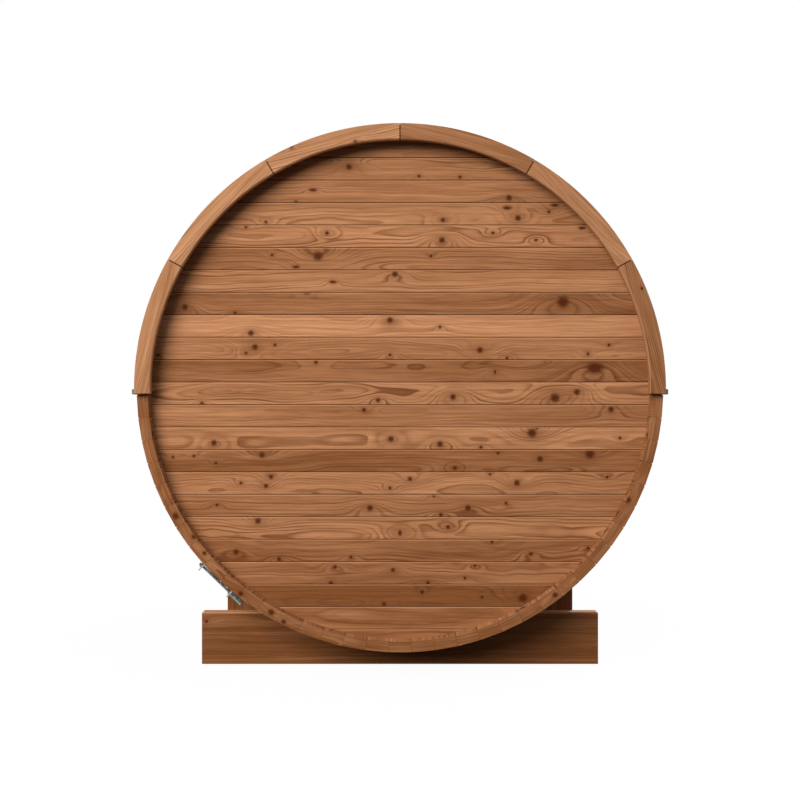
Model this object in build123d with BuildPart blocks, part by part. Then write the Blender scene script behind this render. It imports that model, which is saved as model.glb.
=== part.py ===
from build123d import *
from math import cos, degrees, floor, radians, sin, sqrt
import os

# A barrel sauna: a horizontal timber barrel of bead-and-cove staves with a boarded wall let
# into a groove at each end, pulled tight by two steel hoops and carried by two plank cradles.
# Sizes in millimetres. The origin is on the ground below the middle of the barrel, +Z is up, the
# plain rear end faces -Y and the door end faces +Y.

os.makedirs("parts", exist_ok=True)

# Fits
joint_gap = 0.3           # between neighbouring staves and boards
seat_gap = 0.3            # between a piece and the curved or grooved seat that holds it

# Barrel
barrel_radius = 1018.0    # centre line to the outer flat of a stave
barrel_length = 2200.0
ground_clearance = 115.0  # under the lowest stave
stave_thickness = 42.0
stave_count = 71
stave_edge = 3.0          # chamfer along the outer joints
bead_width = 16.0
bead_crest = 7.0
bead_height = 2.6

# End walls
wall_thickness = 42.0
wall_recess = 58.0        # from the end of the barrel to the face of the wall
croze_depth = 12.0        # groove in the staves that holds the wall
board_cover = 88.0
board_datum = 26.7        # height of one joint line above the barrel's centre line
board_bevel = 2.0
tongue_thickness = 12.0
tongue_height = 10.0

# Arch trim on the upper half of each end
arch_thickness = 28.0
arch_proud = 4.5          # of the outer edge beyond the flats of the staves
arch_width = 61.5
arch_segments = 6
arch_span = 182.4         # degrees, a little more than the upper half
arch_gap = 1.2
arch_edge = 4.0           # chamfer along the inner edge of the face and across its feet

# Roof
membrane_thickness = 3.0
membrane_drop = 20.0      # below the centre line, at both sides
rail_height = 21.0
rail_reach = 15.0         # sideways, from the membrane to the outer side of the bar
rail_edge = 2.0

# Hoops and their tensioners
hoop_width = 30.0
hoop_thickness = 1.0
hoop_inset = 77.0         # from the end of the barrel to the middle of the hoop
tensioner_angle = 226.05  # counter-clockwise from +X, seen from the rear end
lug_spacing = 151.0
lug_height = 42.0
lug_thickness = 5.0
rod_radius = 5.0
rod_height = 22.2         # rod centre above the outer flats
rod_clearance = 0.5
rod_short_end = 14.0
nut_across_flats = 17.0
nut_thickness = 8.0
long_nut_length = 57.0    # below the lower lug, over the other end of the rod

# Cradles
cradle_setback = 300.0    # from the end of the barrel to the face of the beam
beam_length = 1637.0
beam_height = 215.0
beam_thickness = 45.0
beam_corner = 8.0
chock_thickness = 70.0
chock_reach = 719.0       # from the middle of the cradle to the outer side of a chock
chock_inner = 250.0

# Door in the front wall
door_half_width = 350.0   # of the opening in the boards
door_rows_below = 10      # board rows from the datum down to the sill
door_rows_above = 9
frame_width = 45.0
frame_proud = 10.0        # beyond the face of the boards; its back is flush with theirs
leaf_gap = 3.0
leaf_thickness = 34.0
leaf_boards = 6
ledge_height = 95.0
ledge_thickness = 21.0
ledge_inset = 210.0       # from the ends of the leaf to the middle of a ledge
ledge_margin = 40.0
strap_length = 330.0
strap_height = 34.0
strap_thickness = 4.0
knuckle_radius = 7.0
knuckle_height = 60.0
handle_length = 300.0
handle_reach = 62.0
handle_bar = 30.0
handle_post = 45.0        # height of each end where the handle meets the leaf
handle_edge = 7.5
handle_margin = 62.0      # from the edge of the leaf to the middle of the handle

# Floor
deck_drop = 23.0          # from the top of the threshold down to the floor
deck_thickness = 27.0
deck_board_width = 92.0
deck_board_gap = 8.0
deck_end_gap = 5.0
bearer_height = 68.0
bearer_thickness = 45.0
bearer_count = 4
bearer_spacing = 620.0

# Worked out
axis_height = barrel_radius + ground_clearance
pitch = 360.0 / stave_count
half_length = barrel_length / 2
inner_radius = barrel_radius - stave_thickness
corner_factor = 1 / cos(radians(pitch / 2))
cut_reach = 3 * barrel_radius     # takes a cut well past the barrel
saddle_radius = barrel_radius * corner_factor + seat_gap
arch_outer_radius = barrel_radius + arch_proud
arch_inner_radius = arch_outer_radius - arch_width
wall_apothem = inner_radius + croze_depth - seat_gap
wall_face = half_length - wall_recess
wall_back = wall_face - wall_thickness
membrane_apothem = barrel_radius + seat_gap + membrane_thickness
opening_bottom = board_datum - door_rows_below * board_cover
opening_top = board_datum + door_rows_above * board_cover

# Looking along +Y at the rear end: local x is +X, local y is height above the centre line
end_view = Plane(origin=(0, 0, axis_height), x_dir=(1, 0, 0), z_dir=(0, -1, 0))


def section_at(y):
    """Plane square to the barrel at the given y, extruding towards +Y."""
    return Plane(origin=(0, y, axis_height), x_dir=(-1, 0, 0), z_dir=(0, 1, 0))


def stave_polygon(apothem, mode=Mode.ADD):
    """Polygon whose sides lie parallel to the staves' flats, one of them at the very bottom."""
    RegularPolygon(apothem, stave_count, major_radius=False, rotation=pitch / 2 - 90, mode=mode)


def save(builder, label):
    builder.part.label = label
    export_step(builder.part, f"parts/{label}.step")


# Stave section, lying on its outer flat with the barrel's centre towards -x

def stave_joint(side, radius, rise=0.0):
    """Point on one side of the stave, at a distance from the barrel's centre line."""
    angle = radians(side * pitch / 2)
    offset = rise - side * joint_gap / 2
    x = radius * cos(angle) - offset * sin(angle) - barrel_radius
    y = radius * sin(angle) + offset * cos(angle)
    return (x, y)


def stave_section():
    outer = barrel_radius * corner_factor
    inner = inner_radius * corner_factor
    middle = (outer + inner) / 2
    foot = bead_width / 2
    crest = bead_crest / 2
    upwards = [(middle - foot, 0), (middle - crest, bead_height), (middle + crest, bead_height),
               (middle + foot, 0)]
    bead = [stave_joint(1, radius, rise) for radius, rise in upwards]
    cove = [stave_joint(-1, radius, rise) for radius, rise in reversed(upwards)]
    with BuildSketch() as section:
        with BuildLine():
            Polyline(stave_joint(-1, inner), stave_joint(1, inner), *bead, stave_joint(1, outer),
                     stave_joint(-1, outer), *cove, close=True)
        make_face()
        chamfer(section.vertices().sort_by(Axis.X)[-2:], length=stave_edge)
    return section.sketch


def stave_group(label, count, first_angle):
    """Neighbouring staves; first_angle is the joint line that they start from."""
    profile = stave_section()
    with BuildPart() as staves:
        with BuildSketch(end_view):
            with PolarLocations(barrel_radius, count, start_angle=first_angle + pitch / 2,
                                angular_range=count * pitch, endpoint=False):
                add(profile)
        extrude(amount=half_length, both=True)
        croze_width = wall_thickness + 2 * seat_gap
        for start in (-wall_face - seat_gap, wall_back - seat_gap):
            with BuildSketch(section_at(start)):
                stave_polygon(inner_radius + croze_depth)
            extrude(amount=croze_width, mode=Mode.SUBTRACT)
    save(staves, label)


# Six groups counter-clockwise, with one stave centred at the very bottom
group_labels = ["staves_bottom", "staves_lower_right", "staves_upper_right", "staves_top",
                "staves_upper_left", "staves_lower_left"]
side_count = round(stave_count / len(group_labels))
bottom_count = stave_count - side_count * (len(group_labels) - 1)
group_angle = -90 - (bottom_count // 2 + 0.5) * pitch
for group_label in group_labels:
    group_count = bottom_count if group_label == "staves_bottom" else side_count
    stave_group(group_label, group_count, group_angle)
    group_angle += group_count * pitch


# End walls of tongue-and-groove boards

def board_section():
    """One board over the joint line below it: x is depth behind the face and y is height."""
    middle = wall_thickness / 2
    low = joint_gap
    top = board_cover
    tongue = tongue_thickness / 2
    groove = tongue + joint_gap
    with BuildSketch() as section:
        with BuildLine():
            Polyline((board_bevel, low), (middle - groove, low),
                     (middle - groove, low + tongue_height),
                     (middle + groove, low + tongue_height), (middle + groove, low),
                     (wall_thickness, low), (wall_thickness, top), (middle + tongue, top),
                     (middle + tongue, top + tongue_height - joint_gap),
                     (middle - tongue, top + tongue_height - joint_gap),
                     (middle - tongue, top), (board_bevel, top), (0, top - board_bevel),
                     (0, low + board_bevel), close=True)
        make_face()
    return section.sketch


def end_wall(face_y, into):
    """Round wall of horizontal boards; into is the y direction from its face to its back."""
    first_row = floor((-wall_apothem - board_datum) / board_cover)
    last_row = floor((wall_apothem - board_datum) / board_cover)
    joints = [(0, board_datum + row * board_cover) for row in range(first_row, last_row + 1)]
    side_view = Plane(origin=(0, face_y, axis_height), x_dir=(0, into, 0), z_dir=(into, 0, 0))
    profile = board_section()
    with BuildPart() as wall:
        with BuildSketch(side_view):
            with Locations(joints):
                add(profile)
        extrude(amount=wall_apothem * corner_factor, both=True)
        with BuildSketch(section_at(min(face_y, face_y + into * wall_thickness))):
            stave_polygon(wall_apothem)
        extrude(amount=wall_thickness, mode=Mode.INTERSECT)
    return wall.part


with BuildPart() as rear_wall:
    add(end_wall(-wall_face, 1))
save(rear_wall, "rear_wall")

with BuildPart() as front_boards:
    add(end_wall(wall_face, -1))
    with BuildSketch(section_at(wall_back)):
        with Locations((0, (opening_bottom + opening_top) / 2)):
            Rectangle(2 * door_half_width, opening_top - opening_bottom)
    extrude(amount=wall_thickness, mode=Mode.SUBTRACT)
    with BuildSketch(section_at(wall_back + (wall_thickness - tongue_thickness) / 2)):
        with Locations((0, opening_top)):
            Rectangle(2 * door_half_width, tongue_height, align=(Align.CENTER, Align.MIN))
    extrude(amount=tongue_thickness, mode=Mode.SUBTRACT)


def front_wall(label, belongs):
    with BuildPart() as wall:
        for board in front_boards.part.solids():
            middle = board.center(CenterOf.BOUNDING_BOX)
            if belongs(middle.X, middle.Z - axis_height):
                add(board)
    save(wall, label)


front_wall("front_wall_left", lambda x, z: x < 0 and opening_bottom < z < opening_top)
front_wall("front_wall_right", lambda x, z: x > 0 and opening_bottom < z < opening_top)
front_wall("front_wall_head", lambda x, z: z > opening_top)
front_wall("front_wall_sill", lambda x, z: z < opening_bottom)


# Arch trim

def arch_segment(label, plane, number):
    """One curved piece; number counts from the right foot, seen from the rear end."""
    step = arch_span / arch_segments
    gap = degrees(arch_gap / arch_inner_radius)
    start = 90 - arch_span / 2 + (number - 1) * step + gap / 2
    with BuildPart() as segment:
        with BuildSketch(plane):
            with BuildLine():
                outer = CenterArc((0, 0), arch_outer_radius, start, step - gap)
                inner = CenterArc((0, 0), arch_inner_radius, start, step - gap)
                Line(outer @ 0, inner @ 0)
                Line(outer @ 1, inner @ 1)
            make_face()
        extrude(amount=arch_thickness)
        outer_face = segment.faces().sort_by(Axis.Y)[0 if plane.origin.Y < 0 else -1]
        eased = outer_face.edges().filter_by(GeomType.CIRCLE).sort_by(SortBy.LENGTH)[:1]
        if number in (1, arch_segments):
            eased += outer_face.edges().filter_by(GeomType.LINE).sort_by(Axis.Z)[:1]
        chamfer(eased, length=arch_edge)
    save(segment, label)


rear_end = end_view.offset(half_length)
front_end = Plane(origin=(0, half_length, axis_height), x_dir=(-1, 0, 0), z_dir=(0, 1, 0))
for number in range(1, arch_segments + 1):
    arch_segment(f"rear_arch_{number}", rear_end, number)
    arch_segment(f"front_arch_{number}", front_end, number)


# Roof membrane, pressed over the hoops
with BuildPart() as roof_membrane:
    with BuildSketch(section_at(-half_length)):
        stave_polygon(membrane_apothem)
        stave_polygon(barrel_radius + seat_gap, mode=Mode.SUBTRACT)
        with Locations((0, -membrane_drop)):
            Rectangle(cut_reach, cut_reach, align=(Align.CENTER, Align.MAX), mode=Mode.SUBTRACT)
    extrude(amount=barrel_length)
    for hoop_y in (-half_length + hoop_inset, half_length - hoop_inset):
        with BuildSketch(section_at(hoop_y - hoop_width / 2 - seat_gap)):
            stave_polygon(barrel_radius + hoop_thickness + 2 * seat_gap)
        extrude(amount=hoop_width + 2 * seat_gap, mode=Mode.SUBTRACT)
save(roof_membrane, "roof_membrane")


# Roof edge rails, bars that clamp the lower edges of the membrane

def roof_edge_rail(label, side):
    middle = membrane_apothem * corner_factor + seat_gap + rail_reach / 2
    with BuildPart() as rail:
        with BuildSketch(end_view) as outline:
            with Locations((side * middle, -rail_height / 2)):
                Rectangle(rail_reach, rail_height)
            outer_corners = outline.vertices().sort_by(Axis.X)[-2:] if side > 0 else \
                outline.vertices().sort_by(Axis.X)[:2]
            chamfer(outer_corners, length=rail_edge)
        extrude(amount=half_length, both=True)
    save(rail, label)


roof_edge_rail("roof_edge_rail_left", -1)
roof_edge_rail("roof_edge_rail_right", 1)


# Hoops with bent-up lugs, and the rods that pull them tight

def tensioner_plane(y):
    """Plane across the barrel: local x along the rod, local y away from the barrel's centre."""
    angle = radians(tensioner_angle)
    return Plane(origin=(0, y, axis_height), x_dir=(sin(angle), 0, -cos(angle)),
                 z_dir=(0, -1, 0))


def rod_plane(y, place):
    """Plane square to the rod, at a place along it; its normal points to the upper lug."""
    across = tensioner_plane(y)
    rod_level = barrel_radius + rod_height
    return Plane(origin=across.from_local_coords((place, rod_level, 0)), z_dir=across.x_dir,
                 x_dir=(0, 1, 0))


def hoop(label, y):
    """Steel band on the staves' flats, open between two lugs that stand square to the rod."""
    half_opening = (lug_spacing + lug_thickness) / 2
    band_seat = barrel_radius + seat_gap
    with BuildPart() as band:
        with BuildSketch(section_at(y - hoop_width / 2)):
            stave_polygon(band_seat + hoop_thickness)
        extrude(amount=hoop_width)
        with BuildSketch(tensioner_plane(y)):
            Rectangle(2 * half_opening, 2 * barrel_radius, align=(Align.CENTER, Align.MIN))
        extrude(amount=hoop_width, both=True, mode=Mode.SUBTRACT)
        with BuildSketch(tensioner_plane(y)):
            with Locations((-lug_spacing / 2, 0), (lug_spacing / 2, 0)):
                Rectangle(lug_thickness, barrel_radius + lug_height,
                          align=(Align.CENTER, Align.MIN))
        extrude(amount=hoop_width / 2, both=True)
        with BuildSketch(section_at(y - hoop_width)):
            stave_polygon(band_seat)
        extrude(amount=2 * hoop_width, mode=Mode.SUBTRACT)
        with BuildSketch(rod_plane(y, -lug_spacing)):
            Circle(rod_radius + rod_clearance)
        extrude(amount=2 * lug_spacing, mode=Mode.SUBTRACT)
    save(band, label)


def tension_rod(label, y):
    """Threaded rod with a nut above the upper lug and a long nut below the lower one."""
    lug_face = (lug_spacing + lug_thickness) / 2
    with BuildPart() as rod:
        with BuildSketch(rod_plane(y, -lug_face)):
            Circle(rod_radius)
        extrude(amount=2 * lug_face + rod_short_end)
        for seat, length in ((-lug_face - long_nut_length, long_nut_length),
                             (lug_face, nut_thickness)):
            with BuildSketch(rod_plane(y, seat)):
                RegularPolygon(nut_across_flats / 2, 6, major_radius=False)
            extrude(amount=length)
    save(rod, label)


for end_name, hoop_y in (("rear", hoop_inset - half_length), ("front", half_length - hoop_inset)):
    hoop(f"hoop_{end_name}", hoop_y)
    tension_rod(f"tension_rod_{end_name}", hoop_y)


# Cradles: a scooped plank with a pair of taller chocks behind it

def saddle_cut():
    """Cut the sketch back to the barrel, in a sketch centred on the barrel."""
    Circle(saddle_radius, mode=Mode.SUBTRACT)


def cradle_beam(label, y):
    with BuildPart() as beam:
        with BuildSketch(section_at(y)) as outline:
            with Locations((0, -axis_height)):
                Rectangle(beam_length, beam_height, align=(Align.CENTER, Align.MIN))
            fillet(outline.vertices().group_by(Axis.Y)[-1], radius=beam_corner)
            saddle_cut()
        extrude(amount=beam_thickness)
    save(beam, label)


def cradle_chock(label, y, side):
    """Block that carries the barrel's side; side is -1 towards -X and 1 towards +X."""
    middle = (chock_reach + chock_inner) / 2
    with BuildPart() as chock:
        with BuildSketch(section_at(y)):
            with Locations((-side * middle, -axis_height)):
                Rectangle(chock_reach - chock_inner, axis_height,
                          align=(Align.CENTER, Align.MIN))
            saddle_cut()
        extrude(amount=chock_thickness)
    save(chock, label)


beam_face = half_length - cradle_setback
beam_back = beam_face - beam_thickness
for end_name, beam_y, chock_y in (("rear", -beam_face, -beam_back),
                                  ("front", beam_back, beam_back - chock_thickness)):
    cradle_beam(f"{end_name}_cradle_outer_beam", beam_y)
    cradle_chock(f"{end_name}_cradle_left_chock", chock_y, -1)
    cradle_chock(f"{end_name}_cradle_right_chock", chock_y, 1)


# Door, shut, in its frame in the front wall

frame_half_width = door_half_width - seat_gap
frame_bottom = opening_bottom + seat_gap
frame_top = opening_top - seat_gap
frame_front = wall_face + frame_proud
frame_depth = wall_thickness + frame_proud
leaf_half_width = frame_half_width - frame_width - leaf_gap
leaf_bottom = frame_bottom + frame_width + leaf_gap
leaf_top = frame_top - frame_width - leaf_gap
leaf_height = leaf_top - leaf_bottom
leaf_middle = (leaf_top + leaf_bottom) / 2
leaf_front = frame_front
leaf_back = leaf_front - leaf_thickness

with BuildPart() as door_frame:
    with BuildSketch(section_at(frame_front - frame_depth)):
        for side in (-1, 1):
            with Locations((side * (frame_half_width - frame_width / 2),
                            (frame_bottom + frame_top) / 2)):
                Rectangle(frame_width, frame_top - frame_bottom)
        head_width = 2 * (frame_half_width - frame_width - joint_gap)
        for middle in (frame_bottom + frame_width / 2, frame_top - frame_width / 2):
            with Locations((0, middle)):
                Rectangle(head_width, frame_width)
    extrude(amount=frame_depth)
save(door_frame, "door_frame")

# Vertical boards with tongues towards local +x
leaf_cover = 2 * leaf_half_width / leaf_boards
leaf_tongue = tongue_thickness * leaf_thickness / wall_thickness / 2
with BuildPart() as door_leaf:
    leaf_plan = Plane(origin=(0, leaf_back, axis_height + leaf_bottom))
    with BuildSketch(leaf_plan):
        for board in range(leaf_boards):
            left = board * leaf_cover - leaf_half_width
            with Locations((left + joint_gap, 0)):
                Rectangle(leaf_cover - joint_gap, leaf_thickness, align=(Align.MIN, Align.MIN))
        tongues = [(board * leaf_cover - leaf_half_width, leaf_thickness / 2)
                   for board in range(1, leaf_boards)]
        with Locations(tongues):
            Rectangle(tongue_height + joint_gap, 2 * leaf_tongue + 2 * joint_gap,
                      align=(Align.MIN, Align.CENTER), mode=Mode.SUBTRACT)
            Rectangle(tongue_height, 2 * leaf_tongue, align=(Align.MIN, Align.CENTER))
    extrude(amount=leaf_height)
    upright_edges = door_leaf.edges().filter_by(Axis.Z).group_by(Axis.Y)
    chamfer(upright_edges[-1] + upright_edges[0], length=board_bevel)
save(door_leaf, "door_leaf")

with BuildPart() as door_ledges:
    with BuildSketch(section_at(leaf_back - ledge_thickness)):
        with Locations((0, leaf_bottom + ledge_inset), (0, leaf_middle),
                       (0, leaf_top - ledge_inset)):
            Rectangle(2 * (leaf_half_width - ledge_margin), ledge_height)
    extrude(amount=ledge_thickness)
    chamfer(door_ledges.faces().sort_by(Axis.Y)[0].edges(), length=board_bevel)
save(door_ledges, "door_ledges")

# Strap hinges on the -X side, their knuckles over the gap beside the leaf
with BuildPart() as door_hinges:
    hinge_x = -leaf_half_width - leaf_gap / 2
    for height in (leaf_bottom + ledge_inset, leaf_top - ledge_inset):
        with BuildSketch(section_at(frame_front)):
            with Locations((-hinge_x, height)):
                Rectangle(strap_length, strap_height, align=(Align.MAX, Align.CENTER))
                Rectangle(frame_width - 2 * board_bevel, knuckle_height,
                          align=(Align.MIN, Align.CENTER))
        extrude(amount=strap_thickness)
        with BuildSketch(Plane(origin=(hinge_x, frame_front + knuckle_radius,
                                       axis_height + height - knuckle_height / 2))):
            Circle(knuckle_radius)
        extrude(amount=knuckle_height)
save(door_hinges, "door_hinges")

# Timber pull handle on the +X side
with BuildPart() as door_handle:
    handle_x = leaf_half_width - handle_margin
    with BuildSketch(Plane(origin=(handle_x, leaf_front, axis_height + leaf_middle),
                           x_dir=(0, 1, 0), z_dir=(1, 0, 0))):
        Rectangle(handle_reach, handle_length, align=(Align.MIN, Align.CENTER))
        Rectangle(handle_reach - handle_bar, handle_length - 2 * handle_post,
                  align=(Align.MIN, Align.CENTER), mode=Mode.SUBTRACT)
    extrude(amount=handle_bar / 2, both=True)
    grip_edges = door_handle.edges().filter_by(Axis.Z).group_by(Axis.Y)[-1]
    chamfer(grip_edges, length=handle_edge)
save(door_handle, "door_handle")


# Floor on bearers cut to the inside of the barrel

deck_level = frame_bottom + frame_width - deck_drop
with BuildPart() as floor_bearers:
    bearer_top = deck_level - deck_thickness
    reach = (bearer_count - 1) * bearer_spacing / 2
    for bearer in range(bearer_count):
        with BuildSketch(section_at(bearer * bearer_spacing - reach - bearer_thickness / 2)):
            Circle(inner_radius - seat_gap)
            with Locations((0, bearer_top)):
                Rectangle(2 * inner_radius, bearer_height, align=(Align.CENTER, Align.MAX),
                          mode=Mode.INTERSECT)
        extrude(amount=bearer_thickness)
save(floor_bearers, "floor_bearers")

with BuildPart() as floor_deck:
    deck_half_width = sqrt((inner_radius - seat_gap) ** 2 - bearer_top ** 2)
    deck_step = deck_board_width + deck_board_gap
    deck_boards = int((2 * deck_half_width + deck_board_gap) // deck_step)
    with BuildSketch(section_at(deck_end_gap - wall_back)):
        with Locations((0, deck_level)):
            with GridLocations(deck_step, 1, deck_boards, 1):
                Rectangle(deck_board_width, deck_thickness, align=(Align.CENTER, Align.MAX))
    extrude(amount=2 * (wall_back - deck_end_gap))
save(floor_deck, "floor_deck")
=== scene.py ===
"""Looks of the barrel sauna: oiled heat-treated boards, felt roof and galvanised fittings.

Everything is in metres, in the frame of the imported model: +Z up, the plain rear end at -Y.
"""
import math
import random

import bmesh
import bpy
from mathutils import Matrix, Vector


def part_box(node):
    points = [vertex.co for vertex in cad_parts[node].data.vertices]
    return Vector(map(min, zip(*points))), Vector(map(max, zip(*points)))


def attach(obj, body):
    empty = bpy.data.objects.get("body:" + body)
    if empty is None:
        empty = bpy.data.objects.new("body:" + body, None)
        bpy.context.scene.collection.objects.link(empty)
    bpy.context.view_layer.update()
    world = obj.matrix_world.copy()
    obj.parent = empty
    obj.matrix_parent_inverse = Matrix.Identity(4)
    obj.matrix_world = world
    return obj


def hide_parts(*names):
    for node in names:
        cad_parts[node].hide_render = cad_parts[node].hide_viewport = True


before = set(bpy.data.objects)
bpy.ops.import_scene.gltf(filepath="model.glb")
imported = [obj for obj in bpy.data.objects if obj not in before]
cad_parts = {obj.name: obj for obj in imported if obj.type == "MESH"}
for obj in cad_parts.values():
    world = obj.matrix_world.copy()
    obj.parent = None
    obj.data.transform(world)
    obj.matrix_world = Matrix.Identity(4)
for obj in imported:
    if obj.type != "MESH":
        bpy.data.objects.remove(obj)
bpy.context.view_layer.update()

X, Y, Z = range(3)

# Barrel: its end and its lowest point come from the frame, the other sizes are the model's own
BARREL_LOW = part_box("staves_bottom")[0]
BARREL_END = BARREL_LOW.y
BARREL_RADIUS = 1.018
AXIS_HEIGHT = BARREL_LOW.z + BARREL_RADIUS
STAVE_THICKNESS = 0.042
STAVE_COUNT = 71
STAVE_PITCH = 2 * math.pi / STAVE_COUNT
STAVE_WIDTH = STAVE_PITCH * BARREL_RADIUS
END_TOLERANCE = 0.0005

# End walls: one joint lies at the datum above the barrel's axis, with eleven boards over it
WALL_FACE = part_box("rear_wall")[0].y
BOARD_COVER = 0.088
BOARD_DATUM = 0.0267
BOARDS_OVER_DATUM = 11
DOOR_MIDDLE_ROW = -1
ROWS_BESIDE_DOOR = 19
JAMB_HALF_WIDTH = 0.024
LEAF_BOARDS = 6
DECK_BOARD_COVER = 0.100

# Arch trim
ARCH_PIECES = 6
ARCH_INNER = 0.961
ARCH_MIDDLE = ARCH_INNER + 0.03
ARCH_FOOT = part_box("rear_arch_1")[0].z - AXIS_HEIGHT
ARCH_SPAN = math.radians(182.4)
ARCH_STEP = ARCH_SPAN / ARCH_PIECES

# Hoops and tension rods
TENSIONER_ANGLE = math.radians(226.05)
HOOP_INSET = 0.077
ROD_HEIGHT = 0.0222
ROD_RADIUS = 0.005
THREAD_PITCH = 0.0015

# Camera: level and square to the rear end, as the photograph is taken
CAMERA_DISTANCE = 4.400
CAMERA_DROP = 0.0422
FOCAL_PIXELS = 1137.4
PHOTO_PIXELS = 800
SENSOR = 36.0


# Short forms for building node trees

class Nodes:
    """Adds nodes to one tree; each call returns the output socket of the node that it adds."""

    def __init__(self, tree):
        self.tree = tree

    def new(self, kind, **settings):
        node = self.tree.nodes.new(kind)
        for name, value in settings.items():
            setattr(node, name, value)
        return node

    def feed(self, socket, value):
        if isinstance(value, bpy.types.NodeSocket):
            self.tree.links.new(value, socket)
        elif value is not None:
            socket.default_value = value

    def math(self, operation, a, b=None, c=None, clamp=False):
        node = self.new("ShaderNodeMath", operation=operation, use_clamp=clamp)
        for socket, value in zip(node.inputs, (a, b, c)):
            self.feed(socket, value)
        return node.outputs[0]

    def length(self, a, b):
        squares = self.math("ADD", self.math("MULTIPLY", a, a), self.math("MULTIPLY", b, b))
        return self.math("SQRT", squares)

    def choose(self, mask, inside, outside):
        """The inside value where the mask is 1, and the outside one where it is 0."""
        rest = self.math("SUBTRACT", 1.0, mask)
        return self.math("ADD", self.math("MULTIPLY", outside, rest),
                         self.math("MULTIPLY", inside, mask))

    def smooth(self, value, low, high, to_low=0.0, to_high=1.0):
        node = self.new("ShaderNodeMapRange", interpolation_type="SMOOTHSTEP")
        for name, item in (("Value", value), ("From Min", low), ("From Max", high),
                           ("To Min", to_low), ("To Max", to_high)):
            self.feed(node.inputs[name], item)
        return node.outputs[0]

    def split(self, vector):
        node = self.new("ShaderNodeSeparateXYZ")
        self.feed(node.inputs[0], vector)
        return node.outputs

    def join(self, x, y, z):
        node = self.new("ShaderNodeCombineXYZ")
        for socket, value in zip(node.inputs, (x, y, z)):
            self.feed(socket, value)
        return node.outputs[0]

    def noise(self, vector, scale=1.0, detail=2.0, roughness=0.5, distortion=0.0):
        node = self.new("ShaderNodeTexNoise")
        self.feed(node.inputs["Vector"], vector)
        self.feed(node.inputs["Scale"], scale)
        self.feed(node.inputs["Detail"], detail)
        self.feed(node.inputs["Roughness"], roughness)
        self.feed(node.inputs["Distortion"], distortion)
        return node.outputs["Fac"]

    def chance(self, value):
        """A random number from 0 to 1 for each whole value."""
        node = self.new("ShaderNodeTexWhiteNoise", noise_dimensions="1D")
        self.feed(node.inputs["W"], value)
        return node.outputs["Value"]

    def mix(self, factor, a, b, blend="MIX"):
        node = self.new("ShaderNodeMix", data_type="RGBA", blend_type=blend)
        self.feed(node.inputs["Factor"], factor)
        self.feed(node.inputs[6], a)
        self.feed(node.inputs[7], b)
        return node.outputs[2]

    def place(self):
        return self.new("ShaderNodeTexCoord").outputs["Object"]

    def group(self, group, **values):
        node = self.new("ShaderNodeGroup", node_tree=group)
        for name, value in values.items():
            self.feed(node.inputs[name.replace("_", " ")], value)
        return node.outputs

    def turned(self, place, angle):
        """Splits the place in a frame turned by the angle round the barrel's axis: out from the
        axis, along the barrel, and square to both."""
        node = self.new("ShaderNodeMapping", vector_type="TEXTURE")
        node.inputs["Location"].default_value = (0.0, 0.0, AXIS_HEIGHT)
        node.inputs["Rotation"].default_value = (0.0, -angle, 0.0)
        self.feed(node.inputs["Vector"], place)
        return self.split(node.outputs[0])

    def relief(self, shader, height, strength, distance):
        node = self.new("ShaderNodeBump")
        node.inputs["Strength"].default_value = strength
        node.inputs["Distance"].default_value = distance
        self.feed(node.inputs["Height"], height)
        self.feed(shader.inputs["Normal"], node.outputs[0])

    def seen(self):
        """1 for what the camera sees, also mirrored or through something clear, and else 0."""
        ray = self.new("ShaderNodeLightPath").outputs
        bent = self.math("MAXIMUM", ray["Is Glossy Ray"], ray["Is Transmission Ray"])
        return self.math("MAXIMUM", ray["Is Camera Ray"], bent)


def shader_group(name, inputs, outputs):
    """Empty group with named sockets; returns the group, its Nodes, its inputs and its end."""
    tree = bpy.data.node_groups.new(name, "ShaderNodeTree")
    for label, kind, value in inputs:
        socket = tree.interface.new_socket(label, in_out="INPUT", socket_type=kind)
        if value is not None:
            socket.default_value = value
    for label, kind in outputs:
        tree.interface.new_socket(label, in_out="OUTPUT", socket_type=kind)
    nodes = Nodes(tree)
    start = nodes.new("NodeGroupInput")
    end = nodes.new("NodeGroupOutput")
    return tree, nodes, start.outputs, end.inputs


FLOAT = "NodeSocketFloat"
COLOUR = "NodeSocketColor"

# Colours of the oiled timber
OILED_PALE = (0.50, 0.233, 0.110, 1)
ARCH_PALE = (0.50, 0.248, 0.122, 1)
OILED_DEEP = (0.205, 0.074, 0.024, 1)
LATEWOOD = (0.150, 0.050, 0.016, 1)
KNOT_RIM = (0.17, 0.058, 0.020, 1)
KNOT_HEART = (0.070, 0.014, 0.002, 1)
# Paler colour painted along edges as a highlight where light would catch them
EDGE_HIGHLIGHT = (0.58, 0.29, 0.145, 1)
OPEN_JOINT = (0.052, 0.012, 0.002, 1)

# Noises in the timber: waves for a metre, along and across the grain
WOBBLE_WAVES = (7.0, 30.0)
PATCH_WAVES = (3.1, 18.0)
FIBRE_WAVES = (7.0, 210.0)
STREAK_WAVES = (2.2, 105.0)
BROAD_WAVES = (2.0, 17.0)
KNOT_WAVES = 130.0
RING_WOBBLE = 0.007
RING_UNEVENNESS = 2.4
SEED_STRIDE = 7.31


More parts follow.
